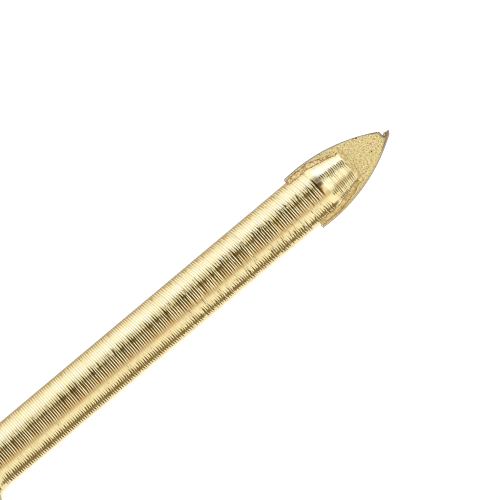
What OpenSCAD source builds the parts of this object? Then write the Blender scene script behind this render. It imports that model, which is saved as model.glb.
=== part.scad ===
// Spear-point bit for drilling glass and tile. The steel is one piece, turned from hexagon bar,
// and a relieved carbide plate is brazed into a slot across its nose.
// The bit lies along X on one flat of its hexagon, with its point toward +X.
// Lengths are in millimetres and angles in degrees.

/* [Carbide plate] */
// Width across the two cutting edges
tip_w = 6.35; // [6.2:0.05:7]
// Thickness of the plate
tip_t = 2; // [1.5:0.1:2.5]
// Length from the point to the back edge
tip_len = 11.3; // [10.8:0.1:14]
// Radius of the curved edges, seen square to the plate
edge_r = 18; // [15:0.5:19]
// Slope of each edge surface toward the shank, behind its cutting edge
point_relief = 8; // [4:1:20]
// Slope of each edge surface toward the axis, behind its cutting edge
side_relief = 3; // [1:0.5:5]

/* [Edge wear] */
// Width of the notch that is broken through the edge beside the point
notch_w = 0.3; // [0.2:0.05:0.5]
// Depth of the notch from the cutting edge
notch_depth = 0.45; // [0.25:0.05:0.6]
// Distance of the notch behind the point
notch_back = 0.7; // [0.6:0.05:1.5]
// Radius of the small nick along the same edge
nick_r = 0.2; // [0.1:0.05:0.35]
// Distance of the nick behind the point
nick_back = 3.1; // [2:0.1:5]

/* [Brazed joint] */
// Depth of the plate's seat behind the front face of the nose
seat_depth = 5.7; // [4.5:0.1:8]
// Thickness of the braze film on each face of the plate and behind it
film_t = 0.05; // [0.03:0.01:0.1]
// Width of the braze bead on the plate, beside the shaft
bead_w = 0.35; // [0.2:0.05:0.5]
// Height of the braze bead against the steel
bead_h = 0.4; // [0.15:0.05:0.5]
// Reach of the braze bead on the plate, ahead of the nose
bead_front = 0.6; // [0.3:0.1:1]

/* [Turned shaft] */
// Diameter of the shaft
shaft_d = 5.55; // [5:0.05:5.8]
// Length from the front face of the nose to the foot of the shoulder fillet
shaft_len = 46.5; // [20:0.1:90]
// Diameter of the front face of the nose
nose_d = 4.2; // [3.8:0.1:4.8]
// Length of the nose's cone
nose_len = 3.2; // [1.5:0.05:4.4]
// Radius of the fillet that rises from the shaft to the hexagon
shoulder_r = 2.5; // [1.5:0.1:4]

/* [Hex shank] */
// Width of the hexagon across its flats
hex_af = 6.35; // [6.1:0.05:7]
// Length from the rear end to the foot of the shoulder fillet
hex_len = 30.4; // [24:0.2:50]
// Depth to which the bar's corners are rounded off
corner_round = 0.12; // [0.05:0.01:0.3]
// Distance from the rear end to the middle of the detent groove
groove_back = 9.5; // [8:0.1:14]
// Diameter at the root of the detent groove
groove_d = 4.8; // [4.2:0.1:5.4]
// Radius of the detent groove's section
groove_r = 2.5; // [1.5:0.1:3]
// Diameter of the rear end face inside its chamfer
end_d = 5.2; // [4:0.1:5.8]
// Slope of the rear chamfer from the axis
end_slope = 45; // [25:1:60]

/* [Hidden] */
$fn = 96;

// Colours of the gold-coated steel, the grainy plate and the filler
steel_gold = [0.80, 0.68, 0.42];
plate_gold = [0.85, 0.75, 0.52];
filler_brown = [0.60, 0.46, 0.26];

// Reach of a cutting shape past what it cuts
over = 1;

// Stations along the axis, counted from the rear end
nose_at = hex_len + shaft_len;
cone_at = nose_at - nose_len;
seat_at = nose_at - seat_depth;
overall_len = seat_at + tip_len;
axis_h = hex_af / 2;

// Radius of the bar over its rounded corners
corner_r = hex_af / 2 / cos(30) - corner_round;

// Half the plate's width at mid-thickness, where neither edge surface has fallen away yet
mid_half_w = tip_w / 2 - tip_t / 2 * tan(side_relief);

// Distance of each edge surface's axis beyond the bit's own axis
edge_offset = edge_r / cos(side_relief) - mid_half_w;

// Distance from that axis forward to the point, where the two tilted edge surfaces meet at mid-thickness
tilt_a = pow(cos(point_relief), 2);
tilt_b = 2 * edge_offset * cos(point_relief) * sin(point_relief) * sin(side_relief);
tilt_c = pow(edge_r, 2) - pow(edge_offset, 2) * (1 - tilt_a * pow(sin(side_relief), 2));
point_run = (tilt_b + sqrt(pow(tilt_b, 2) + 4 * tilt_a * tilt_c)) / (2 * tilt_a);
edge_at = overall_len - point_run;

// Length of an edge surface, enough to pass both faces of the plate at any tilt
edge_reach = 4 * tip_t;

// Forward shift of a cutting edge on its own face
face_shift = tip_t / 2 * tan(point_relief) / cos(side_relief);

// Half the plate's width at a distance behind the point, out to the cutting edge
function cutting_half_w(back) =
  tip_w / 2 - edge_r
  + sqrt(pow(edge_r, 2) - pow((point_run - face_shift - back) * cos(point_relief), 2));

// Seat of the nick's round hollow, as shares of its radius above the face and out past the edge
nick_lift = 0.4;
nick_out = 0.3;

// Half the shaft's width at the plate's face, where the bead starts
land_half_w = sqrt(pow(shaft_d / 2, 2) - pow(tip_t / 2, 2));

// The bead's skin turns about an axis behind the plate, so that it leaves the plate bead_w beside the
// steel and runs into the steel bead_h above the plate
bead_shift = bead_w * (2 * land_half_w + bead_w) / (2 * bead_h);
function bead_r(steel_r) =
  sqrt(pow(steel_r, 2) + 2 * (tip_t / 2 + bead_h) * bead_shift + pow(bead_shift, 2));
bead_toe_r = tip_t / 2 + bead_shift;

// Lays the bit down: the working frame has its axis on +Z and the plate's faces square to X
module lay_down() {
  translate([-overall_len / 2, 0, axis_h])
    rotate([0, 90, 0])
      children();
}

// Half section of the turned surfaces: rear chamfer, detent groove, shoulder fillet, shaft and nose
module turned_section() {
  chamfer_len = (corner_r - end_d / 2) / tan(end_slope);
  difference() {
    polygon([
      [0, 0],
      [end_d / 2, 0],
      [corner_r, chamfer_len],
      [corner_r, hex_len],
      [shaft_d / 2, hex_len],
      [shaft_d / 2, cone_at],
      [nose_d / 2, nose_at],
      [0, nose_at]
    ]);
    translate([groove_d / 2 + groove_r, groove_back])
      circle(groove_r);
    intersection() {
      translate([shaft_d / 2 + shoulder_r, hex_len])
        circle(shoulder_r);
      translate([shaft_d / 2, hex_len - shoulder_r - over])
        square([2 * shoulder_r + over, shoulder_r + over]);
    }
  }
}

module turned_form() {
  rotate_extrude()
    turned_section();
}

module hex_bar() {
  rotate([0, 0, 30])
    cylinder(d = hex_af / cos(30), h = nose_at, $fn = 6);
}

// Slot for the plate and its film, open at the front of the nose
module slot_space() {
  slot_w = tip_t + 2 * film_t;
  translate([-slot_w / 2, -shaft_d / 2 - over, seat_at - film_t])
    cube([slot_w, shaft_d + 2 * over, seat_depth + film_t + over]);
}

// One edge surface: a cylinder across the plate, tilted so that it falls away behind its cutting edge
module edge_surface(turn) {
  rotate([0, 0, turn])
    translate([0, -edge_offset, edge_at])
      rotate([0, 0, -side_relief])
        rotate([0, 90 + point_relief, 0])
          cylinder(r = edge_r, h = edge_reach, center = true);
}

module between_edges() {
  intersection() {
    edge_surface(0);
    edge_surface(180);
  }
}

// Flat blank from which the plate is cut
module plate_blank() {
  translate([-tip_t / 2, -tip_w / 2 - over, seat_at])
    cube([tip_t, tip_w + 2 * over, tip_len + over]);
}

module plate_form() {
  intersection() {
    plate_blank();
    between_edges();
  }
}

// Notch where the edge has broken away through the whole thickness, with a round bottom
module notch() {
  translate([0, cutting_half_w(notch_back) - notch_depth + notch_w / 2, overall_len - notch_back])
    rotate([0, 90, 0]) {
      cylinder(d = notch_w, h = edge_reach, center = true);
      translate([-notch_w / 2, 0, -edge_reach / 2])
        cube([notch_w, notch_depth + over, edge_reach]);
    }
}

// Round hollow where the cutting edge has chipped, on the upper face
module nick() {
  translate([
    -tip_t / 2 - nick_lift * nick_r,
    cutting_half_w(nick_back) + nick_out * nick_r,
    overall_len - nick_back
  ])
    sphere(nick_r);
}

// Steel of the shank: turned form and hexagon bar together, with the slot across the nose
module shank_form() {
  difference() {
    intersection() {
      turned_form();
      hex_bar();
    }
    slot_space();
  }
}

// Space of the filler on one face of the plate. Its toe runs on below the face, which trims it
module bead_space(turn) {
  rotate([0, 0, turn])
    intersection() {
      translate([-bead_shift, 0, 0])
        rotate_extrude()
          polygon([
            [0, seat_at],
            [bead_r(shaft_d / 2), seat_at],
            [bead_r(shaft_d / 2), cone_at],
            [bead_r(nose_d / 2), nose_at],
            [2 * bead_toe_r - bead_r(nose_d / 2), nose_at + 2 * bead_front],
            [0, nose_at + 2 * bead_front]
          ]);
      translate([tip_t / 2, -tip_w / 2, seat_at])
        cube([shaft_d, tip_w, seat_depth + bead_front + over]);
      between_edges();
    }
}

// Space of the filler inside the slot, round the plate's faces and back, which stops at its edges
module film_space() {
  difference() {
    intersection() {
      slot_space();
      turned_form();
      between_edges();
    }
    plate_blank();
  }
}

module shank_body() {
  color(steel_gold)
    lay_down()
      shank_form();
}

module carbide_tip() {
  color(plate_gold)
    lay_down()
      difference() {
        plate_form();
        notch();
        nick();
      }
}

module braze_joint() {
  color(filler_brown)
    lay_down()
      difference() {
        union() {
          film_space();
          bead_space(0);
          bead_space(180);
        }
        shank_form();
      }
}

shank_body();
carbide_tip();
braze_joint();
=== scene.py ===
# Looks of a gold-coated spear-point bit: turned shank, grainy carbide plate and uneven braze
import math
import random
from collections import namedtuple
import bmesh
import bpy
from mathutils import Matrix, Vector, noise


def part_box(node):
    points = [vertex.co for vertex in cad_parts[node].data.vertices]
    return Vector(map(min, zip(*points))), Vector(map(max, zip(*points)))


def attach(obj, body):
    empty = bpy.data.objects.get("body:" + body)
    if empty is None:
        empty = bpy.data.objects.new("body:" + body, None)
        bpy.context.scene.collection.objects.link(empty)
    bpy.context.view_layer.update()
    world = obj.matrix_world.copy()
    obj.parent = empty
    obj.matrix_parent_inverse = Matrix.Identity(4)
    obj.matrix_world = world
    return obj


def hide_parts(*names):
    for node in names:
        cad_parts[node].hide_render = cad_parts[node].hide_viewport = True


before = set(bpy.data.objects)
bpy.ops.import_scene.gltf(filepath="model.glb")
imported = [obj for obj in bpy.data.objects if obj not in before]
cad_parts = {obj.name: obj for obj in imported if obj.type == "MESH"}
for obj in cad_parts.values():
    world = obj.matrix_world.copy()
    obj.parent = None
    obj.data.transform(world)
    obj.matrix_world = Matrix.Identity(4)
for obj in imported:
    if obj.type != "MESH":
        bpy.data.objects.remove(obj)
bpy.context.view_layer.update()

MM = 0.001
rng = random.Random(7)

# Places that the frame gives
shank_low, shank_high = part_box("shank_body")
plate_low, plate_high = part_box("carbide_tip")
REAR_X = shank_low.x
NOSE_X = shank_high.x
TIP_X = plate_high.x
SEAT_X = plate_low.x
HEX_AF = shank_high.z - shank_low.z
CORNER_R = shank_high.y
AXIS_Z = (shank_low.z + shank_high.z) / 2
PLATE_HALF_T = (plate_high.z - plate_low.z) / 2
PLATE_W = plate_high.y - plate_low.y
FACE_Z = AXIS_Z + PLATE_HALF_T

# Sizes of the turned shank
SHAFT_R = 5.55 / 2 * MM
NOSE_R = 4.2 / 2 * MM
NOSE_LEN = 3.2 * MM
SHOULDER_R = 2.5 * MM
HEX_LEN = 30.4 * MM
HEX_ROUND = 0.22 * MM
DETENT_BACK = 9.5 * MM
DETENT_ROOT_R = 4.8 / 2 * MM
DETENT_R = 2.5 * MM
DETENT_STEPS = 14
END_R = 5.2 / 2 * MM
FILM_T = 0.05 * MM
CONE_X = NOSE_X - NOSE_LEN
CONE_SLOPE = (SHAFT_R - NOSE_R) / NOSE_LEN

# Turning marks: one scallop for each turn of the work, with its root and the height of its walls as shares
FEED = 0.25 * MM
CONE_FEED = 0.21 * MM
MARK_DEPTH = 0.018 * MM
CONE_MARKS = 0.9
MARK_ROOTS = (0.41, 0.53)
MARK_WALL = 0.75
AROUND = 96

# Unevenness from mark to mark: random spread of the depth, slow chatter, and wander along the bit
MARK_SPREAD = 0.20
MARK_CHATTER = 0.25
CHATTER_STEP = 0.31
MARK_WANDER = 0.11
UNEVEN = (0.8, 1.6)
UNEVEN_FROM = (6 * MM, 20 * MM)
UNEVEN_CONE = 1.0

# Unevenness of a mark round the bit: share of its depth, waves, step of the noise from mark to mark, shift
Waves = namedtuple("Waves", "share scale step shift")
ROOT_WAVES = Waves(share=0.35, scale=1.6, step=0.9, shift=0)
WALL_WAVES = Waves(share=0.45, scale=6, step=2.3, shift=5)

# Ridge between shaft and cone: half length of its rounding, and the plain stretch beyond which marks return
RIDGE_HALF = 0.40 * MM
PLAIN_BACK = 0.10 * MM
MARKS_FROM = (0.28 * MM, 0.56 * MM)

# Lean of the marks across the bit, and the stretches in which it grows and fades
MARK_LEAN = 0.095
LEAN_FROM = (2 * MM, 11 * MM)
LEAN_UNTIL = (32 * MM, 35 * MM)

# Carbide plate: edge cylinders tilted for relief, and the search for the point where they meet
EDGE_R = 18 * MM
POINT_RELIEF = math.radians(8)
SIDE_RELIEF = math.radians(3)
POINT_BAND = (-1 * MM, 0.2 * MM)
POINT_HALVINGS = 40
PLATE_LEVELS = 12

# Grain of the pressed carbide: step of the skin, depth, and share and waves per millimetre of its noise
GRAIN_STEP = 0.06 * MM
GRAIN_DEPTH = 0.016 * MM
GRAIN_MEAN = 0.5
GRAIN_COARSE = (0.45, 5.5)
GRAIN_FINE = (0.3, 11)
GRAIN_SHIFT = Vector((3, 1, 7))

# Darkening of the plate: painted shade in dark lines along its edges, wider near the point, worn flanks and
# heel near the point, dark patch round the notch
RIM_W = 0.078 * MM
HEEL_RIM = 0.35
RIM_NEAR_POINT = 1.4
RIM_NEAR_POINT_UNTIL = (1.2 * MM, 2.2 * MM)
FLANK_REACH = 0.45
FLANK_SOFT = 0.15
FLANK_UNTIL = (0.8 * MM, 2.2 * MM)
HEEL_W = 0.26 * MM
HEEL_UNTIL = (0.5 * MM, 1.8 * MM)
NOTCH_PATCH_W = 0.34 * MM
NOTCH_PATCH_SHARE = 0.9
NOTCH_PATCH_WAVES = 7

# Breaks of the upper edge: place behind the point, past the edge and above the face, half sizes, seed, and
# tints: painted shade inside most breaks, a painted highlight in the hollow
Break = namedtuple("Break", "back out lift radii seed tints")
NOTCH = Break(0.68 * MM, 0.02 * MM, 0.0, (0.19 * MM, 0.56 * MM, 6 * MM), 1, {"rim": 0.9})
# Hollow near the point: a real break, with its surface painted pale as a painted highlight
HOLLOW = Break(0.36 * MM, 0.06 * MM, 0.12 * MM, (0.26 * MM, 0.26 * MM, 0.28 * MM), 2, {"painted_highlight": 1.0})
STEP = Break(0.92 * MM, -0.02 * MM, 0.02 * MM, (0.13 * MM, 0.46 * MM, 0.10 * MM), 5, {"rim": 0.75})
NICK = Break(3.05 * MM, -0.10 * MM, 0.05 * MM, (0.15 * MM, 0.11 * MM, 0.13 * MM), 3, {"rim": 0.9})
CRUMB = Break(3.34 * MM, -0.08 * MM, 0.02 * MM, (0.09 * MM, 0.08 * MM, 0.09 * MM), 6, {"rim": 0.8})
EDGE_BREAKS = (NOTCH, HOLLOW, STEP, NICK, CRUMB)
BREAK_GRAIN = 0.6

# Pit on the plate's upper face, with painted shade inside it
PIT_BACK = 2.75 * MM
PIT_SIDE = -0.38 * MM
PIT_RADII = (0.10 * MM, 0.07 * MM, 0.09 * MM)
PIT_SHADE = 0.9
PIT_SEED = 4

# Roughness of breaks and spills: share of the radius and waves of the noise
BALL_ROUGH = 0.18
BALL_WAVES = 1.9

# Braze bead beside the steel: sizes, step along it, and the run in which it widens behind the nose
BEAD_W = 0.35 * MM
BEAD_H = 0.40 * MM
BEAD_FRONT = 0.60 * MM
BEAD_STEP = 0.03 * MM
BEAD_RUN = 1.5 * MM
BEAD_RUN_UPPER = 3.6 * MM
BEAD_START = 0.3
BEAD_TURN = 0.25 * MM
BEAD_SUNK = 0.10 * MM
BEAD_SEED = 5

# Section of the bead: heights of its skin, its hollow curve, and what is less ahead of the nose
SKIN_SHARES = (0.06, 0.2, 0.4, 0.6, 0.8, 1.0)
SKIN_CURVE = 1.7
SKIN_BACK = 0.95
FRONT_SMOOTHER = 0.6
FRONT_LOWER = 0.65
FRONT_PALER = 0.8

# Lumps of the bead: share of its size, waves per millimetre, shift of the noise, and their limit in height
LUMPS = ((0.30, 1.7, 0), (0.25, 5.1, 4))
LUMP_LIMIT = 1.15

# Filler squeezed out behind the plate's upper corner on +Y
SPILL_BACK = 0.16 * MM
SPILL_SIDE = 2.50 * MM
SPILL_LIFT = 0.04 * MM
SPILL_RADII = (0.34 * MM, 0.13 * MM, 0.17 * MM)
SPILL_SEED = 6

# Angles in degrees past which an edge is shaded sharp
SHANK_SHARP = 19
PLATE_SHARP = 40
BRAZE_SHARP = 50
FLOOR_SHARP = 30


# Helpers

def smooth_step(low, high, value):
    t = min(max((value - low) / (high - low), 0.0), 1.0)
    return t * t * (3 - 2 * t)


def new_object(name, mesh):
    obj = bpy.data.objects.new(name, mesh)
    bpy.context.scene.collection.objects.link(obj)
    return obj


def mesh_from(name, verts, faces):
    mesh = bpy.data.meshes.new(name)
    mesh.from_pydata(verts, [], faces)
    mesh.validate()
    return mesh


def mesh_of(name, bm):
    mesh = bpy.data.meshes.new(name)
    bm.to_mesh(mesh)
    bm.free()
    return mesh


def outward_mesh(name, verts, faces):
    """Mesh with all its faces turned outward."""
    mesh = mesh_from(name, verts, faces)
    bm = bmesh.new()
    bm.from_mesh(mesh)
    bmesh.ops.recalc_face_normals(bm, faces=bm.faces)
    bm.to_mesh(mesh)
    bm.free()
    return mesh


def add_layer(mesh, name, values):
    """Gives each vertex a number that a material reads by name."""
    layer = mesh.attributes.new(name, "FLOAT", "POINT")
    layer.data.foreach_set("value", values)


def band_faces(rings, around):
    """Faces between neighbouring rings of vertices, which face outward where the rings run along +X."""
    faces = []
    for i in range(rings - 1):
        a, b = i * around, (i + 1) * around
        for j in range(around):
            k = (j + 1) % around
            faces.append((a + j, a + k, b + k, b + j))
    return faces


def box_object(name, low, high):
    verts = [
        (x, y, z)
        for x in (low[0], high[0])
        for y in (low[1], high[1])
        for z in (low[2], high[2])
    ]
    faces = [(0, 1, 3, 2), (4, 6, 7, 5), (0, 4, 5, 1), (2, 3, 7, 6), (0, 2, 6, 4), (1, 5, 7, 3)]
    return new_object(name, mesh_from(name, verts, faces))


def apply_boolean(obj, cutter, operation):
    """Applies one boolean to an object's mesh and removes the cutter."""
    modifier = obj.modifiers.new("boolean", "BOOLEAN")
    modifier.operation = operation
    modifier.solver = "MANIFOLD"
    modifier.object = cutter
    graph = bpy.context.evaluated_depsgraph_get()
    mesh = bpy.data.meshes.new_from_object(obj.evaluated_get(graph))
    obj.modifiers.clear()
    old = obj.data
    obj.data = mesh
    bpy.data.meshes.remove(old)
    bpy.data.objects.remove(cutter)


def shade(mesh, angle):
    mesh.polygons.foreach_set("use_smooth", [True] * len(mesh.polygons))
    mesh.set_sharp_from_angle(angle=math.radians(angle))
    mesh.update()


def rough_ball(centre, radii, seed, **tints):
    """Uneven ellipsoid, with the tints that it leaves where it breaks a piece out: painted shade in most
    breaks, a painted highlight in one, and the grain's depth.
    """
    bm = bmesh.new()
    bmesh.ops.create_icosphere(bm, subdivisions=3, radius=1.0)
    for v in bm.verts:
        v.co *= 1 + BALL_ROUGH * noise.noise(v.co * BALL_WAVES + Vector((seed, 0, 0)))
        v.co = Vector(centre) + Vector(a * b for a, b in zip(v.co, radii))
    mesh = mesh_of("break", bm)
    for name, value in tints.items():
        add_layer(mesh, name, [value] * len(mesh.vertices))
    return new_object("break", mesh)


# Turned shank

def shoulder_foot_x():
    return REAR_X + HEX_LEN


def shoulder_top_x():
    rise = CORNER_R - SHAFT_R
    return shoulder_foot_x() - math.sqrt(SHOULDER_R ** 2 - (SHOULDER_R - rise) ** 2)


def turned_radius(x):
    """Radius of the smooth turned surface from the shoulder to the nose."""
    if x < shoulder_foot_x():
        return SHAFT_R + SHOULDER_R - math.sqrt(SHOULDER_R ** 2 - (shoulder_foot_x() - x) ** 2)
    past = x - CONE_X
    if past <= -RIDGE_HALF:
        return SHAFT_R
    if past < RIDGE_HALF:
        return SHAFT_R - CONE_SLOPE * (past + RIDGE_HALF) ** 2 / (4 * RIDGE_HALF)
    return SHAFT_R - CONE_SLOPE * past


def rear_stations():
    """Rings of the hexagon end: rear chamfer and detent groove."""
    middle = REAR_X + DETENT_BACK
    half = math.acos((DETENT_R - (CORNER_R - DETENT_ROOT_R)) / DETENT_R)
    stations = [(REAR_X, END_R), (REAR_X + CORNER_R - END_R, CORNER_R)]
    for i in range(DETENT_STEPS + 1):
        turn = -half + 2 * half * i / DETENT_STEPS
        radius = DETENT_ROOT_R + DETENT_R * (1 - math.cos(turn))
        stations.append((middle + DETENT_R * math.sin(turn), radius))
    return stations


CREST, WALL, ROOT = range(3)


def unevenness(x):
    """How uneven the marks are: most on the front of the shaft."""
    if x > CONE_X:
        return UNEVEN_CONE
    rear, front = UNEVEN
    return rear + (front - rear) * smooth_step(*UNEVEN_FROM, x)


def mark_starts():
    """Start and length of each mark. The cone was cut at a finer feed."""
    starts = []
    for start, end, feed in ((shoulder_top_x(), CONE_X, FEED), (CONE_X, NOSE_X, CONE_FEED)):
        count = int((end - start) / feed)
        pitch = (end - start) / count
        starts += [(start + pitch * i, pitch) for i in range(count)]
    return starts


def mark_depth(mark, x, pitch):
    """Depth of a mark at its root, with none on the ridge."""
    uneven = unevenness(x)
    chatter = 1 + MARK_CHATTER * uneven * noise.noise(Vector((mark * CHATTER_STEP, 0, 0)))
    depth = MARK_DEPTH * chatter * (1 + uneven * rng.uniform(-MARK_SPREAD, MARK_SPREAD))
    depth *= smooth_step(*MARKS_FROM, abs(x + pitch / 2 - CONE_X + PLAIN_BACK))
    return depth * CONE_MARKS if x > CONE_X else depth


def mark_stations():
    """Rings of the turning marks: place, depth of the mark, the ring's part in it and the mark's number."""
    starts = mark_starts()
    stations = []
    for mark, (x, pitch) in enumerate(starts):
        depth = mark_depth(mark, x, pitch)
        wander = pitch * unevenness(x) * rng.uniform(-MARK_WANDER, MARK_WANDER) if mark else 0.0
        root = rng.uniform(*MARK_ROOTS)
        for share, part in ((0, CREST), (root / 2, WALL), (root, ROOT), ((1 + root) / 2, WALL)):
            stations.append((x + pitch * share + wander * (1 - share), depth, part, mark))
    stations.append((NOSE_X, 0.0, CREST, len(starts)))
    return stations


def ring_depth(x, depth, part, mark, around):
    """Depth of a mark's ring below the smooth surface, uneven round the bit."""
    if part == CREST:
        return 0.0

    def wave(waves):
        place = around * waves.scale + Vector((mark * waves.step, waves.shift, 0))
        return waves.share * unevenness(x) * noise.noise(place)

    deep = depth * (1 + wave(ROOT_WAVES))
    return deep if part == ROOT else deep * (MARK_WALL + wave(WALL_WAVES))


def mark_lean(x):
    """Sideways lean of the marks: none at the rear and at the nose, most along the front half."""
    return MARK_LEAN * smooth_step(*LEAN_FROM, x) * (1 - smooth_step(*LEAN_UNTIL, x))


def shank_lathe():
    """Turned surface with its marks. The layer named root tells how deep each vertex lies in its mark."""
    verts = []
    root = []
    rear = rear_stations()
    marks = mark_stations()
    turns = [2 * math.pi * j / AROUND for j in range(AROUND)]
    for x, radius in rear:
        for turn in turns:
            verts.append((x, radius * math.cos(turn), AXIS_Z + radius * math.sin(turn)))
            root.append(0.0)
    for x, depth, part, mark in marks:
        lean = mark_lean(x) * turned_radius(x)
        for turn in turns:
            around = Vector((0, math.cos(turn), math.sin(turn)))
            deep = ring_depth(x, depth, part, mark, around)
            leant = x - lean * around.y * abs(around.y)
            radius = turned_radius(leant) - deep
            verts.append((leant, radius * around.y, AXIS_Z + radius * around.z))
            root.append(deep / MARK_DEPTH)
    rings = len(rear) + len(marks)
    faces = band_faces(rings, AROUND)
    last = (rings - 1) * AROUND
    faces.append(tuple(reversed(range(AROUND))))
    faces.append(tuple(range(last, last + AROUND)))
    mesh = mesh_from("shank", verts, faces)
    add_layer(mesh, "root", root)
    return new_object("shank_detail", mesh)


def hex_cutter():
    """Hexagon bar with rounded long edges."""
    sides = 6
    reach = 1 * MM
    corner = HEX_AF / 2 / math.cos(math.pi / sides)
    verts = []
    for x in (REAR_X - reach, NOSE_X + reach):
        for i in range(sides):
            turn = math.radians(360 / sides * i)
            verts.append((x, corner * math.cos(turn), AXIS_Z + corner * math.sin(turn)))
    faces = band_faces(2, sides)
    faces += [tuple(reversed(range(sides))), tuple(range(sides, 2 * sides))]
    mesh = mesh_from("hex", verts, faces)
    bm = bmesh.new()
    bm.from_mesh(mesh)
    long_edges = [e for e in bm.edges if abs(e.verts[0].co.x - e.verts[1].co.x) > reach]
    bmesh.ops.bevel(bm, geom=long_edges, offset=HEX_ROUND, segments=3, profile=0.5, affect="EDGES")
    bm.to_mesh(mesh)
    bm.free()
    return new_object("hex", mesh)


def slot_cutter():
    half = PLATE_HALF_T + FILM_T
    reach = 2 * SHAFT_R
    return box_object(
        "slot",
        (SEAT_X - FILM_T, -reach, AXIS_Z - half),
        (NOSE_X + reach, reach, AXIS_Z + half),
    )


def build_shank():
    obj = shank_lathe()
    apply_boolean(obj, hex_cutter(), "INTERSECT")
    apply_boolean(obj, slot_cutter(), "DIFFERENCE")
    shade(obj.data, SHANK_SHARP)
    return obj


# Carbide plate

TILT_A = math.cos(POINT_RELIEF) ** 2
TILT_B = math.cos(POINT_RELIEF) * math.sin(POINT_RELIEF) * math.sin(SIDE_RELIEF)
TILT_Y = 1 - TILT_A * math.sin(SIDE_RELIEF) ** 2
EDGE_OFFSET = EDGE_R / math.cos(SIDE_RELIEF) - (PLATE_W / 2 - PLATE_HALF_T * math.tan(SIDE_RELIEF))
POINT_RUN = (
    TILT_B * EDGE_OFFSET
    + math.sqrt((TILT_B * EDGE_OFFSET) ** 2 + TILT_A * (EDGE_R ** 2 - TILT_Y * EDGE_OFFSET ** 2))
) / TILT_A


def edge_y(x, level):
    """Half width of the plate on its +Y side, at a station and a height above mid-thickness."""
    along = x - (TIP_X - POINT_RUN + level * math.tan(POINT_RELIEF) / math.cos(SIDE_RELIEF))
    inside = (TILT_B * along) ** 2 - TILT_Y * (TILT_A * along ** 2 - EDGE_R ** 2)
    across = (TILT_B * along + math.sqrt(inside)) / TILT_Y
    return across - EDGE_OFFSET + level * math.tan(SIDE_RELIEF)


def point_x(level):
    """Station at which the two edges meet, at a height above mid-thickness."""
    low, high = (TIP_X + past for past in POINT_BAND)
    for _ in range(POINT_HALVINGS):
        middle = (low + high) / 2
        if edge_y(middle, level) + edge_y(middle, -level) > 0:
            low = middle
        else:
            high = middle
    return low


def rim_shade(back, cutting, heeling):
    """Painted shade in dark lines along the cutting edge and the heel, by the distances from the point and
    from each.
    """
    near_point = 1 - smooth_step(*RIM_NEAR_POINT_UNTIL, back)
    cutting_line = math.exp(-(cutting / (RIM_W * (1 + RIM_NEAR_POINT * near_point))) ** 2)
    heel_share = 1 - (1 - HEEL_RIM) * (1 - near_point)
    return max(cutting_line, heel_share * math.exp(-(heeling / RIM_W) ** 2))


def flank_tint(back, heel):
    """Worn tint of an edge surface, by its distance behind the point and the share of its height."""
    reach = 1 - (1 - FLANK_REACH) * smooth_step(*FLANK_UNTIL, back)
    return 1 - smooth_step(reach - FLANK_SOFT, reach + FLANK_SOFT, heel)


def heel_tint(back, heeling):
    """Worn tint of a face along its heel, near the point."""
    return math.exp(-(heeling / HEEL_W) ** 2) * (1 - smooth_step(*HEEL_UNTIL, back))


def notch_dark_patch(x, y):
    """Dark patch on the upper face round the notch beside the point."""
    notch_half, notch_deep, _ = NOTCH.radii
    middle = TIP_X - NOTCH.back
    bottom = edge_y(middle, PLATE_HALF_T) - notch_deep + notch_half
    far = math.hypot(x - middle, min(y - bottom, 0.0)) - notch_half
    mottle = NOTCH_PATCH_SHARE + noise.noise(Vector((x, y, 0)) / MM * NOTCH_PATCH_WAVES)
    return (1 - smooth_step(0.0, NOTCH_PATCH_W, far)) * mottle


def grain_share(place):
    """Depth of the pressed carbide's grain at a place, between 0 and 1."""
    p = place / MM
    coarse, coarse_waves = GRAIN_COARSE
    fine, fine_waves = GRAIN_FINE
    share = GRAIN_MEAN + coarse * noise.noise(p * coarse_waves)
    share += fine * noise.noise(p * fine_waves + GRAIN_SHIFT)
    return min(max(share, 0.0), 1.0)


def sink_grain(bm, pit):
    """Sinks the skin by its grain, and keeps the grain's share in a layer."""
    bmesh.ops.recalc_face_normals(bm, faces=bm.faces)
    bm.normal_update()
    moves = []
    for v in bm.verts:
        v[pit] = grain_share(v.co)
        moves.append((v, v.normal * -GRAIN_DEPTH * v[pit]))
    for v, move in moves:
        v.co += move


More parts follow.
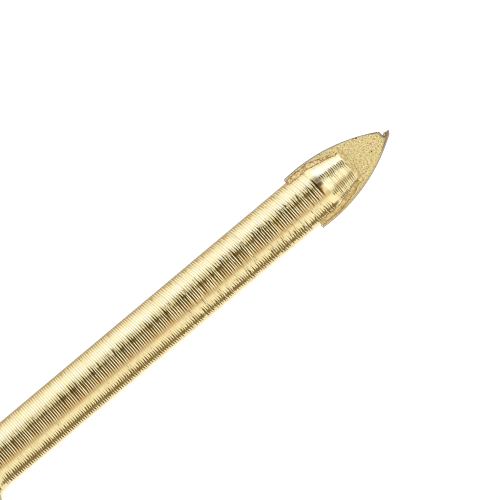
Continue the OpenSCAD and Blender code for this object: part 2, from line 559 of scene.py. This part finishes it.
def plate_grid():
    """Closed skin of the plate, with its grain, and the wear tints of each vertex."""
    rows = int((TIP_X - SEAT_X) / GRAIN_STEP)
    columns = int(PLATE_W / GRAIN_STEP)
    top = PLATE_LEVELS
    bm = bmesh.new()
    rim = bm.verts.layers.float.new("rim")
    flank = bm.verts.layers.float.new("flank")
    pit = bm.verts.layers.float.new("pit")
    made = {}

    def new_vert(i, j, l):
        level = PLATE_HALF_T * (2 * l / top - 1)
        front = point_x(level)
        x = front + (SEAT_X - front) * i / rows
        high = edge_y(x, level)
        low = -edge_y(x, -level)
        y = low + (high - low) * j / columns
        v = bm.verts.new((x, y, AXIS_Z + level))
        back = TIP_X - x
        cutting, heeling = (high - y, y - low) if 2 * l > top else (y - low, high - y)
        v[rim] = rim_shade(back, cutting, heeling)
        if l == top:
            v[rim] = max(v[rim], notch_dark_patch(x, y))
        if 0 < l < top:
            v[flank] = flank_tint(back, (l if 2 * j < columns else top - l) / top)
        else:
            v[flank] = heel_tint(back, heeling)
        return v

    def vert(i, j, l):
        """Vertex by row from the point, column from -Y to +Y and level from below."""
        key = (i, j if i else 0, l)
        if key not in made:
            made[key] = new_vert(*key)
        return made[key]

    def face(*corners):
        ring = list(dict.fromkeys(corners))
        if len(ring) > 2:
            bm.faces.new(ring)

    for i in range(rows):
        for j in range(columns):
            face(vert(i, j, top), vert(i + 1, j, top), vert(i + 1, j + 1, top), vert(i, j + 1, top))
            face(vert(i, j, 0), vert(i, j + 1, 0), vert(i + 1, j + 1, 0), vert(i + 1, j, 0))
        for l in range(top):
            for j in (0, columns):
                face(vert(i, j, l), vert(i + 1, j, l), vert(i + 1, j, l + 1), vert(i, j, l + 1))
    for j in range(columns):
        for l in range(top):
            face(vert(rows, j, l), vert(rows, j + 1, l), vert(rows, j + 1, l + 1), vert(rows, j, l + 1))
    sink_grain(bm, pit)
    return mesh_of("plate", bm)


def edge_break(spot):
    """Cutter for one break of the upper cutting edge."""
    x = TIP_X - spot.back
    y = edge_y(x, PLATE_HALF_T) + spot.out
    return rough_ball((x, y, FACE_Z + spot.lift), spot.radii, spot.seed, **spot.tints, pit=BREAK_GRAIN)


def face_pit():
    """Cutter for the pit on the upper face."""
    centre = (TIP_X - PIT_BACK, PIT_SIDE, FACE_Z)
    return rough_ball(centre, PIT_RADII, PIT_SEED, rim=PIT_SHADE, pit=BREAK_GRAIN)


def build_plate():
    obj = new_object("carbide_detail", plate_grid())
    for cutter in [edge_break(spot) for spot in EDGE_BREAKS] + [face_pit()]:
        apply_boolean(obj, cutter, "DIFFERENCE")
    shade(obj.data, PLATE_SHARP)
    return obj


# Braze: a film in the slot and an uneven bead round the nose on both faces

def steel_half_w(x, height):
    """Half width of the turned steel at a height above the axis."""
    return math.sqrt(turned_radius(x) ** 2 - height ** 2)


def foot_path():
    """Foot of the steel on the plate's face, from the back on +Y round the nose to the back on -Y."""
    count = int((NOSE_X - SEAT_X) / BEAD_STEP)
    side = []
    for i in range(count + 1):
        x = SEAT_X + (NOSE_X - SEAT_X) * i / count
        side.append(Vector((x, steel_half_w(x, PLATE_HALF_T), 0)))
    half = side[-1].y
    across = int(2 * half / BEAD_STEP)
    front = [Vector((NOSE_X, half - 2 * half * i / across, 0)) for i in range(1, across)]
    back = [Vector((p.x, -p.y, 0)) for p in reversed(side)]
    return side + front + back


def outward_on_plate(path):
    """Direction away from the steel at each point of the path, turned gradually round the nose."""
    square = []
    for i in range(len(path)):
        along = path[min(i + 1, len(path) - 1)] - path[max(i - 1, 0)]
        square.append(Vector((-along.y, along.x, 0)).normalized())
    spread = int(BEAD_TURN / BEAD_STEP)
    return [
        sum(square[max(i - spread, 0):i + spread + 1], Vector()).normalized()
        for i in range(len(path))
    ]


def lumps(place, seed):
    """Lumps of the bead at a place on the plate, as a share of its size."""
    p = place / MM
    return sum(
        share * noise.noise(Vector((p.x * waves, p.y * waves, seed + shift)))
        for share, waves, shift in LUMPS
    )


def bead_section(foot, outward, seed):
    """Outline of the filler across the joint: distance from the steel's foot, height and painted shade
    along the creases.
    """
    ahead = max(outward.x, 0.0) ** 2
    lump = 1 + lumps(foot, seed) * (1 - FRONT_SMOOTHER * ahead)
    run = BEAD_RUN_UPPER if foot.y > 0 else BEAD_RUN
    side_w = BEAD_W * (BEAD_START + (1 - BEAD_START) * smooth_step(0, run, NOSE_X - foot.x))
    width = (side_w + (BEAD_FRONT - side_w) * ahead) * lump
    height = BEAD_H * (1 - FRONT_LOWER * ahead) * min(lump, LUMP_LIMIT)
    wall = steel_half_w(foot.x, PLATE_HALF_T)
    crease_shade = 1 - FRONT_PALER * ahead

    def lean(up):
        """Fall of the steel's round surface away from the joint at a height."""
        return (wall - steel_half_w(foot.x, PLATE_HALF_T + up)) * (1 - ahead)

    outline = [(-BEAD_SUNK, 0.0, 0.0), (width, 0.0, crease_shade)]
    for share in SKIN_SHARES:
        up = height * share
        edge = crease_shade if share in (SKIN_SHARES[0], SKIN_SHARES[-1]) else 0.0
        outline.append((width * (1 - share) ** SKIN_CURVE - lean(up), up, edge))
    outline.append((-BEAD_SUNK - lean(height), height * SKIN_BACK, crease_shade))
    return outline


def bead_tube(sign):
    """Closed tube of filler along the foot path, on the upper (+1) or the lower (-1) face."""
    path = foot_path()
    verts = []
    crease_shades = []
    sections = []
    for foot, outward in zip(path, outward_on_plate(path)):
        ring = []
        for away, up, crease_shade in bead_section(foot, outward, BEAD_SEED * sign):
            spot = foot + outward * away
            ring.append(len(verts))
            verts.append((spot.x, sign * spot.y, AXIS_Z + sign * (PLATE_HALF_T + up)))
            crease_shades.append(crease_shade)
        sections.append(ring)
    faces = [
        (a[j], a[j - 1], b[j - 1], b[j])
        for a, b in zip(sections, sections[1:])
        for j in range(len(a))
    ]
    faces.append(tuple(sections[0]))
    faces.append(tuple(reversed(sections[-1])))
    mesh = outward_mesh("bead", verts, faces)
    add_layer(mesh, "crease_shade", crease_shades)
    return new_object("bead", mesh)


def film_layer(sign):
    """Thin layer of filler between the plate's face and the slot's wall."""
    path = foot_path()
    low = PLATE_HALF_T
    high = PLATE_HALF_T + FILM_T
    verts = [(p.x, p.y, AXIS_Z + sign * z) for z in (low, high) for p in path]
    n = len(path)
    faces = band_faces(2, n)
    faces += [tuple(range(n)), tuple(range(n, 2 * n))]
    return new_object("film", outward_mesh("film", verts, faces))


def film_back():
    """Filler behind the plate, in the bottom of the slot."""
    half_w = steel_half_w(SEAT_X, PLATE_HALF_T + FILM_T)
    half_t = PLATE_HALF_T + FILM_T
    return box_object(
        "film_back",
        (SEAT_X - FILM_T, -half_w, AXIS_Z - half_t),
        (SEAT_X, half_w, AXIS_Z + half_t),
    )


def squeezed_out():
    """Ragged end of the filler that ran out behind the plate, at its upper corner on +Y."""
    centre = (SEAT_X - SPILL_BACK, SPILL_SIDE, FACE_Z + SPILL_LIFT)
    return rough_ball(centre, SPILL_RADII, SPILL_SEED)


def build_braze():
    obj = bead_tube(1)
    for other in (bead_tube(-1), film_layer(1), film_layer(-1), film_back(), squeezed_out()):
        apply_boolean(obj, other, "UNION")
    shade(obj.data, BRAZE_SHARP)
    obj.name = "braze_detail"
    return obj


# Materials

class Nodes:
    """Small helper that adds nodes to a tree and links them."""

    def __init__(self, tree):
        self.tree = tree
        tree.nodes.clear()

    def add(self, kind, **values):
        node = self.tree.nodes.new(kind)
        for key, value in values.items():
            setattr(node, key, value)
        return node

    def link(self, source, target):
        self.tree.links.new(source, target)

    def feed(self, socket, value):
        """Sets a socket to a number or a colour, or links another socket to it."""
        if isinstance(value, (int, float)):
            socket.default_value = value
        elif isinstance(value, tuple):
            socket.default_value = (*value, 1)
        else:
            self.link(value, socket)

    def math(self, operation, *values, clamp=False):
        node = self.add("ShaderNodeMath", operation=operation, use_clamp=clamp)
        for socket, value in zip(node.inputs, values):
            self.feed(socket, value)
        return node.outputs[0]

    def noise(self, scale, detail, roughness, vector):
        node = self.add("ShaderNodeTexNoise")
        node.inputs["Scale"].default_value = scale
        node.inputs["Detail"].default_value = detail
        node.inputs["Roughness"].default_value = roughness
        self.link(vector, node.inputs["Vector"])
        return node.outputs["Fac"]

    def step(self, source, start, end):
        """Smooth step from 0 at the start to 1 at the end."""
        node = self.add("ShaderNodeMapRange", interpolation_type="SMOOTHSTEP")
        node.inputs["From Min"].default_value = start
        node.inputs["From Max"].default_value = end
        self.link(source, node.inputs["Value"])
        return node.outputs[0]

    def ramp(self, source, stops):
        """Colour ramp from stops of place and colour."""
        node = self.add("ShaderNodeValToRGB")
        elements = node.color_ramp.elements
        while len(elements) < len(stops):
            elements.new(0.5)
        for element, (place, colour) in zip(elements, stops):
            element.position = place
            element.color = (*colour, 1)
        self.link(source, node.inputs["Fac"])
        return node.outputs["Color"]

    def blend(self, factor, a, b):
        """Mix of two numbers."""
        node = self.add("ShaderNodeMix", data_type="FLOAT")
        for place, value in zip((0, 2, 3), (factor, a, b)):
            self.feed(node.inputs[place], value)
        return node.outputs[0]

    def mix(self, factor, a, b, blend="MIX"):
        """Mix of two colours."""
        node = self.add("ShaderNodeMix", data_type="RGBA", blend_type=blend)
        for place, value in zip((0, 6, 7), (factor, a, b)):
            self.feed(node.inputs[place], value)
        return node.outputs[2]

    def split(self, vector):
        node = self.add("ShaderNodeSeparateXYZ")
        self.link(vector, node.inputs[0])
        return node.outputs

    def attribute(self, name):
        return self.add("ShaderNodeAttribute", attribute_name=name).outputs["Fac"]


def metal(name):
    material = bpy.data.materials.new(name)
    material.use_nodes = True
    nodes = Nodes(material.node_tree)
    shader = nodes.add("ShaderNodeBsdfPrincipled")
    shader.inputs["Metallic"].default_value = 1.0
    output = nodes.add("ShaderNodeOutputMaterial")
    nodes.link(shader.outputs[0], output.inputs[0])
    return material, nodes, shader


def object_coords(nodes, scale=(1, 1, 1)):
    coords = nodes.add("ShaderNodeTexCoord")
    mapping = nodes.add("ShaderNodeMapping")
    mapping.inputs["Scale"].default_value = scale
    nodes.link(coords.outputs["Object"], mapping.inputs["Vector"])
    return mapping.outputs[0]


def bump(nodes, shader, height, strength, distance):
    node = nodes.add("ShaderNodeBump")
    node.inputs["Strength"].default_value = strength
    node.inputs["Distance"].default_value = distance
    nodes.link(height, node.inputs["Height"])
    nodes.link(node.outputs[0], shader.inputs["Normal"])


def tinted(nodes, colour, attribute, share, tint):
    """Mixes a tint over a colour by a vertex attribute."""
    return nodes.mix(nodes.math("MULTIPLY", nodes.attribute(attribute), share), colour, tint)


# Coated steel: gold by a slow noise given as scale, detail and roughness, and painted shade in brown in the
# marks' roots
STEEL_NOISE = (450, 3, 0.6)
STEEL_GOLD = (
    (0.32, (0.78, 0.64, 0.33)),
    (0.52, (0.79, 0.68, 0.37)),
    (0.70, (0.81, 0.71, 0.41)),
)
ROOT_SHADE_SHARE = 0.35
ROOT_PAINTED_SHADE = (0.45, 0.32, 0.15)

# Painted dark reflection: a dark spot on the ridge behind the cone
SPOT_PLACE = (CONE_X - 0.18 * MM, 0.88 * MM, AXIS_Z + 2.6 * MM)
SPOT_R = 0.95 * MM
SPOT_REFLECTION_BROWN = (0.20, 0.15, 0.085)

# Fine streaks: waves along each axis and the range of roughness on the turned shaft and on the drawn bar
STREAK_NOISE = (1.0, 3, 0.6)
STREAK_RANGE = (0.3, 0.7)
STREAK_BUMP = (0.25, 0.004 * MM)
TURNED_WAVES = (40000, 900, 900)
TURNED_ROUGH = (0.085, 0.125)
DRAWN_WAVES = (300, 9000, 9000)
DRAWN_ROUGH = (0.24, 0.36)


def painted_dark_reflection(nodes, place):
    """Share of the painted dark reflection, a dark spot on the ridge behind the cone."""
    far = nodes.add("ShaderNodeVectorMath", operation="DISTANCE")
    nodes.link(place, far.inputs[0])
    far.inputs[1].default_value = SPOT_PLACE
    return nodes.step(far.outputs["Value"], SPOT_R, 0.0)


def shaft_share(nodes, place):
    """1 on the turned shaft and 0 on the drawn bar behind it."""
    return nodes.math("GREATER_THAN", nodes.split(place)[0], shoulder_top_x())


def turned_or_drawn(nodes, on_shaft):
    """Fine streaks: round the turned shaft, and lengthwise on the flats of the drawn bar."""
    turned = nodes.noise(*STREAK_NOISE, object_coords(nodes, TURNED_WAVES))
    drawn = nodes.noise(*STREAK_NOISE, object_coords(nodes, DRAWN_WAVES))
    return nodes.blend(on_shaft, drawn, turned)


def streak_roughness(nodes, streaks, on_shaft):
    rough = nodes.add("ShaderNodeMapRange")
    for socket, value in zip(("From Min", "From Max"), STREAK_RANGE):
        rough.inputs[socket].default_value = value
    for socket, drawn, turned in zip(("To Min", "To Max"), DRAWN_ROUGH, TURNED_ROUGH):
        nodes.link(nodes.blend(on_shaft, drawn, turned), rough.inputs[socket])
    nodes.link(streaks, rough.inputs["Value"])
    return rough.outputs[0]


def steel_material():
    material, nodes, shader = metal("coated_steel")
    place = object_coords(nodes)
    gold = nodes.ramp(nodes.noise(*STEEL_NOISE, place), STEEL_GOLD)
    # Painted shade: the marks' roots turn brown, more so where they are deeper
    deep = nodes.math("MULTIPLY", nodes.attribute("root"), ROOT_SHADE_SHARE, clamp=True)
    colour = nodes.mix(deep, gold, ROOT_PAINTED_SHADE)
    # Painted dark reflection on the ridge behind the cone
    colour = nodes.mix(painted_dark_reflection(nodes, place), colour, SPOT_REFLECTION_BROWN)
    nodes.link(colour, shader.inputs["Base Color"])
    on_shaft = shaft_share(nodes, place)
    streaks = turned_or_drawn(nodes, on_shaft)
    nodes.link(streak_roughness(nodes, streaks, on_shaft), shader.inputs["Roughness"])
    bump(nodes, shader, streaks, *STREAK_BUMP)
    return material


# Coated carbide: gold by its fine grain, shaded by the depth of the pressed grain and by a faint slow cast
CARBIDE_NOISE = (6000, 3, 0.65)
CARBIDE_GOLD = (
    (0.34, (0.47, 0.34, 0.138)),
    (0.44, (0.885, 0.715, 0.335)),
    (0.56, (0.97, 0.85, 0.460)),
    (0.66, (0.98, 0.96, 0.70)),
)
GRAIN_SHADES = (
    (0.30, (1.06, 1.06, 1.06)),
    (0.62, (1.0, 1.0, 1.0)),
    (0.90, (0.6, 0.56, 0.5)),
)
CAST_NOISE = (1100, 1, 0.5)
CAST_SHADES = (
    (0.4, (1.0, 0.98, 0.97)),
    (0.6, (0.98, 1.0, 0.95)),
)
# Tints by vertex layer: painted shade along the edges, inside the breaks and the pit, and a dark patch
# round the notch; worn flanks and heel; painted highlight in the hollow near the point
CARBIDE_TINTS = (
    ("rim", 0.9, (0.12, 0.095, 0.05)),
    ("flank", 0.9, (0.37, 0.28, 0.19)),
    ("painted_highlight", 0.9, (0.95, 0.90, 0.82)),
)
CARBIDE_ROUGH = 0.68
CARBIDE_BUMP = (0.5, 0.02 * MM)


def carbide_material():
    material, nodes, shader = metal("coated_carbide")
    place = object_coords(nodes)
    grain = nodes.noise(*CARBIDE_NOISE, place)
    colour = nodes.ramp(grain, CARBIDE_GOLD)
    colour = nodes.mix(1.0, colour, nodes.ramp(nodes.attribute("pit"), GRAIN_SHADES), "MULTIPLY")
    cast = nodes.ramp(nodes.noise(*CAST_NOISE, place), CAST_SHADES)
    colour = nodes.mix(1.0, colour, cast, "MULTIPLY")
    for attribute, share, tint in CARBIDE_TINTS:
        colour = tinted(nodes, colour, attribute, share, tint)
    nodes.link(colour, shader.inputs["Base Color"])
    shader.inputs["Roughness"].default_value = CARBIDE_ROUGH
    bump(nodes, shader, grain, *CARBIDE_BUMP)
    return material


# Braze: mottled, with painted shade as a darker copy of its colours along the upper side behind the nose,
# and painted shade along its creases
BRAZE_NOISE = (4200, 3, 0.6)
SHADED_BRAZE = (
    (0.38, (0.30, 0.17, 0.06)),
    (0.50, (0.62, 0.42, 0.15)),
    (0.64, (0.82, 0.62, 0.27)),
)
PLAIN_BRAZE = (
    (0.34, (0.52, 0.37, 0.14)),
    (0.50, (0.75, 0.55, 0.23)),
    (0.66, (0.90, 0.73, 0.37)),
)
SHADED_SIDE = (0.8 * MM, 1.9 * MM)
SHADED_BEHIND = (NOSE_X, NOSE_X - 1 * MM)
CREASE_SHADE_SHARE = 0.7
CREASE_SHADE_BROWN = (0.20, 0.13, 0.05)
BRAZE_ROUGH = 0.5
BRAZE_BUMP = (0.4, 0.02 * MM)


def braze_material():
    material, nodes, shader = metal("braze")
    place = object_coords(nodes)
    mottle = nodes.noise(*BRAZE_NOISE, place)
    x, y, _ = nodes.split(place)
    # Painted shade: a darker copy of the mottle on the +Y side behind the nose
    side_shade = nodes.math("MULTIPLY", nodes.step(y, *SHADED_SIDE), nodes.step(x, *SHADED_BEHIND))
    colour = nodes.mix(side_shade, nodes.ramp(mottle, PLAIN_BRAZE), nodes.ramp(mottle, SHADED_BRAZE))
    # Painted shade where the bead meets the plate and the steel
    colour = tinted(nodes, colour, "crease_shade", CREASE_SHADE_SHARE, CREASE_SHADE_BROWN)
    nodes.link(colour, shader.inputs["Base Color"])
    shader.inputs["Roughness"].default_value = BRAZE_ROUGH
    bump(nodes, shader, mottle, *BRAZE_BUMP)
    return material


# Pieces

def dress(obj, node, material):
    obj.data.materials.clear()
    obj.data.materials.append(material)
    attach(obj, "root")
    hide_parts(node)


dress(build_shank(), "shank_body", steel_material())
dress(build_plate(), "carbide_tip", carbide_material())
dress(build_braze(), "braze_joint", braze_material())


# Stage: white floor that keeps the shadow and sweeps up into a low wall

FLOOR_GAP = 0.02 * MM
FLOOR_RINGS = (0.02, 0.2, 1.2)
FLOOR_SWEEP = 0.4
FLOOR_STEPS = 12
FLOOR_AROUND = 96
FLOOR_GREY = 0.8
FLOOR_SEEN_GREY = 0.18
FLOOR_GLOW = 0.93


def diffuse(nodes, grey):
    node = nodes.add("ShaderNodeBsdfDiffuse")
    node.inputs["Color"].default_value = (grey, grey, grey, 1)
    return node.outputs[0]


def floor_material():
    """White where it is seen, apart from the object's shadow, and plain grey as a source of light."""
    material = bpy.data.materials.new("floor_white")
    material.use_nodes = True
    nodes = Nodes(material.node_tree)
    path = nodes.add("ShaderNodeLightPath")
    seen = nodes.math("MAXIMUM", path.outputs["Is Camera Ray"], path.outputs["Is Glossy Ray"])
    seen = nodes.math("MAXIMUM", seen, path.outputs["Is Transmission Ray"])
    glow = nodes.add("ShaderNodeEmission")
    glow.inputs["Strength"].default_value = FLOOR_GLOW
    white = nodes.add("ShaderNodeAddShader")
    nodes.link(diffuse(nodes, FLOOR_SEEN_GREY), white.inputs[0])
    nodes.link(glow.outputs[0], white.inputs[1])
    mixed = nodes.add("ShaderNodeMixShader")
    nodes.link(seen, mixed.inputs[0])
    nodes.link(diffuse(nodes, FLOOR_GREY), mixed.inputs[1])
    nodes.link(white.outputs[0], mixed.inputs[2])
    output = nodes.add("ShaderNodeOutputMaterial")
    nodes.link(mixed.outputs[0], output.inputs[0])
    return material


def build_floor():
    """Round floor that sweeps up into a low wall, so that no view shows an edge."""
    rings = [(radius, 0.0) for radius in FLOOR_RINGS]
    for i in range(1, FLOOR_STEPS + 1):
        turn = math.pi / 2 * i / FLOOR_STEPS
        rings.append((FLOOR_RINGS[-1] + FLOOR_SWEEP * math.sin(turn), FLOOR_SWEEP * (1 - math.cos(turn))))
    verts = []
    for radius, height in rings:
        for j in range(FLOOR_AROUND):
            turn = 2 * math.pi * j / FLOOR_AROUND
            verts.append((radius * math.cos(turn), radius * math.sin(turn), height))
    faces = [tuple(range(FLOOR_AROUND))]
    faces += [tuple(reversed(face)) for face in band_faces(len(rings), FLOOR_AROUND)]
    floor = new_object("floor", mesh_from("floor", verts, faces))
    floor.location.z = -FLOOR_GAP
    floor.data.materials.append(floor_material())
    floor.visible_glossy = False
    shade(floor.data, FLOOR_SHARP)


build_floor()


# Light: a white tent, seen by direction: degrees across the bit from straight up toward -Y, and along it

TENT_LEVEL = 1.45
TENT = (
    (-180, (0.75, 0.75, 0.75)),
    (-125, (0.80, 0.80, 0.82)),
    (-95, (0.93, 1.00, 1.16)),
    (-65, (0.92, 0.98, 1.10)),
    (-45, (0.82, 0.85, 0.88)),
    (15, (0.82, 0.75, 0.66)),
    (28, (0.62, 0.54, 0.44)),
    (38, (0.60, 0.53, 0.44)),
    (50, (0.86, 0.85, 0.84)),
    (62, (0.92, 0.92, 0.92)),
    (130, (0.88, 0.88, 0.92)),
    (160, (0.94, 0.98, 1.18)),
    (180, (0.80, 0.80, 0.84)),
)

# Places in the tent: centre and half size in degrees, power of the outline, softness of its edge, colour
Place = namedtuple("Place", "centre half power soft colour")
CONE_CREAM = Place((3, 36), (36, 16), 2.0, 0.30, (0.98, 1.13, 1.36))
CONE_WHITE = Place((-72, 37), (30, 26), 2.0, 0.30, (1.12, 1.28, 2.05))
COPPER_ENDS = Place((14, -7), (24, 11), 1.3, 0.25, (0.280, 0.120, 0.052))
BROWN_STRIPES = Place((-2, -15), (28, 24), 1.6, 0.25, (0.125, 0.075, 0.032))
DARK_BAND = Place((-18, -3), (10, 22), 3.0, 0.35, (0.180, 0.137, 0.074))
DARK_TEETH = Place((-29, -6), (33, 9), 0.95, 0.22, (0.045, 0.034, 0.014))
CONE_UPPER_TICKS = Place((-45, 42), (24, 18), 1.0, 0.15, (0.055, 0.042, 0.016))
CONE_LOWER_LINE = Place((57, 43), (22, 19), 1.2, 0.20, (0.120, 0.096, 0.048))
CONE_LOWER_TICKS = Place((86, 46), (36, 17), 1.0, 0.20, (0.150, 0.120, 0.066))
LOWER_TEETH = Place((100, -8), (40, 15), 1.0, 0.25, (0.120, 0.088, 0.036))
LOWER_BAND = Place((101, -3), (11, 21), 3.0, 0.40, (0.210, 0.160, 0.087))
SHOULDER_SHADE = Place((122, 36), (18, 12), 2.0, 0.30, (0.175, 0.133, 0.082))
UPPER_EDGE = Place((-165, 0), (68, 12), 1.0, 0.30, (0.460, 0.370, 0.230))

# The places in their order, in which a later one lies over the earlier ones
PLACES = (
    CONE_CREAM, CONE_WHITE, COPPER_ENDS, BROWN_STRIPES, DARK_BAND, DARK_TEETH, CONE_UPPER_TICKS,
    CONE_LOWER_LINE, CONE_LOWER_TICKS, LOWER_TEETH, LOWER_BAND, SHOULDER_SHADE, UPPER_EDGE,
)


def outside(nodes, angles, place):
    """Mask that is 0 inside a rounded diamond of directions and 1 outside it."""
    parts = []
    for angle, middle, size in zip(angles, place.centre, place.half):
        off = nodes.math("SUBTRACT", angle, math.radians(middle))
        off = nodes.math("DIVIDE", off, math.radians(size))
        parts.append(nodes.math("POWER", nodes.math("ABSOLUTE", off), place.power))
    far = nodes.math("POWER", nodes.math("ADD", *parts), 1 / place.power)
    return nodes.step(far, 1 - place.soft, 1 + place.soft)


def build_world():
    world = bpy.data.worlds.new("tent")
    bpy.context.scene.world = world
    world.use_nodes = True
    nodes = Nodes(world.node_tree)
    coords = nodes.add("ShaderNodeTexCoord")
    x, y, z = nodes.split(coords.outputs["Generated"])
    across = nodes.math("ARCTAN2", nodes.math("MULTIPLY", y, -1.0), z)
    along = nodes.math("ARCSINE", x)
    share = nodes.math("MULTIPLY_ADD", across, 0.5 / math.pi, 0.5)
    colour = nodes.ramp(share, [(angle / 360 + 0.5, tone) for angle, tone in TENT])
    for place in PLACES:
        colour = nodes.mix(outside(nodes, (across, along), place), place.colour, colour)
    background = nodes.add("ShaderNodeBackground")
    background.inputs["Strength"].default_value = TENT_LEVEL
    nodes.link(colour, background.inputs["Color"])
    output = nodes.add("ShaderNodeOutputWorld")
    nodes.link(background.outputs[0], output.inputs[0])


build_world()


# Camera: above the bit and a little behind, so that the point leans away

TARGET_BACK = 18.473 * MM
TARGET_SIDE = -0.104 * MM
CAMERA_TILT = math.radians(3.5)
CAMERA_SIDE = math.radians(0.8)
CAMERA_FAR = 500 * MM
CAMERA_CLIP = (0.01, 20)
SENSOR_W = 36
VIEW_WIDTH = 50.4 * MM
AXIS_RISE = math.radians(39.96)


def build_camera():
    target = Vector((TIP_X - TARGET_BACK, TARGET_SIDE, AXIS_Z))
    toward = Vector((-math.sin(CAMERA_TILT), -math.sin(CAMERA_SIDE), 1))
    toward.z = math.sqrt(1 - toward.x ** 2 - toward.y ** 2)
    axis = Vector((1, 0, 0))
    axis = (axis - toward * axis.dot(toward)).normalized()
    left = toward.cross(axis)
    right = axis * math.cos(AXIS_RISE) - left * math.sin(AXIS_RISE)
    up = axis * math.sin(AXIS_RISE) + left * math.cos(AXIS_RISE)
    data = bpy.data.cameras.new("camera")
    data.sensor_width = SENSOR_W
    data.lens = SENSOR_W * CAMERA_FAR / VIEW_WIDTH
    data.clip_start, data.clip_end = CAMERA_CLIP
    camera = bpy.data.objects.new("camera", data)
    turn = Matrix((right, up, toward)).transposed().to_4x4()
    camera.matrix_world = Matrix.Translation(target + toward * CAMERA_FAR) @ turn
    bpy.context.scene.collection.objects.link(camera)
    bpy.context.scene.camera = camera


# Width of the pixel filter, for fine marks as crisp as the photo's
FILTER_WIDTH = 1.0

build_camera()
bpy.context.scene.view_settings.view_transform = "Standard"
bpy.context.scene.cycles.filter_width = FILTER_WIDTH
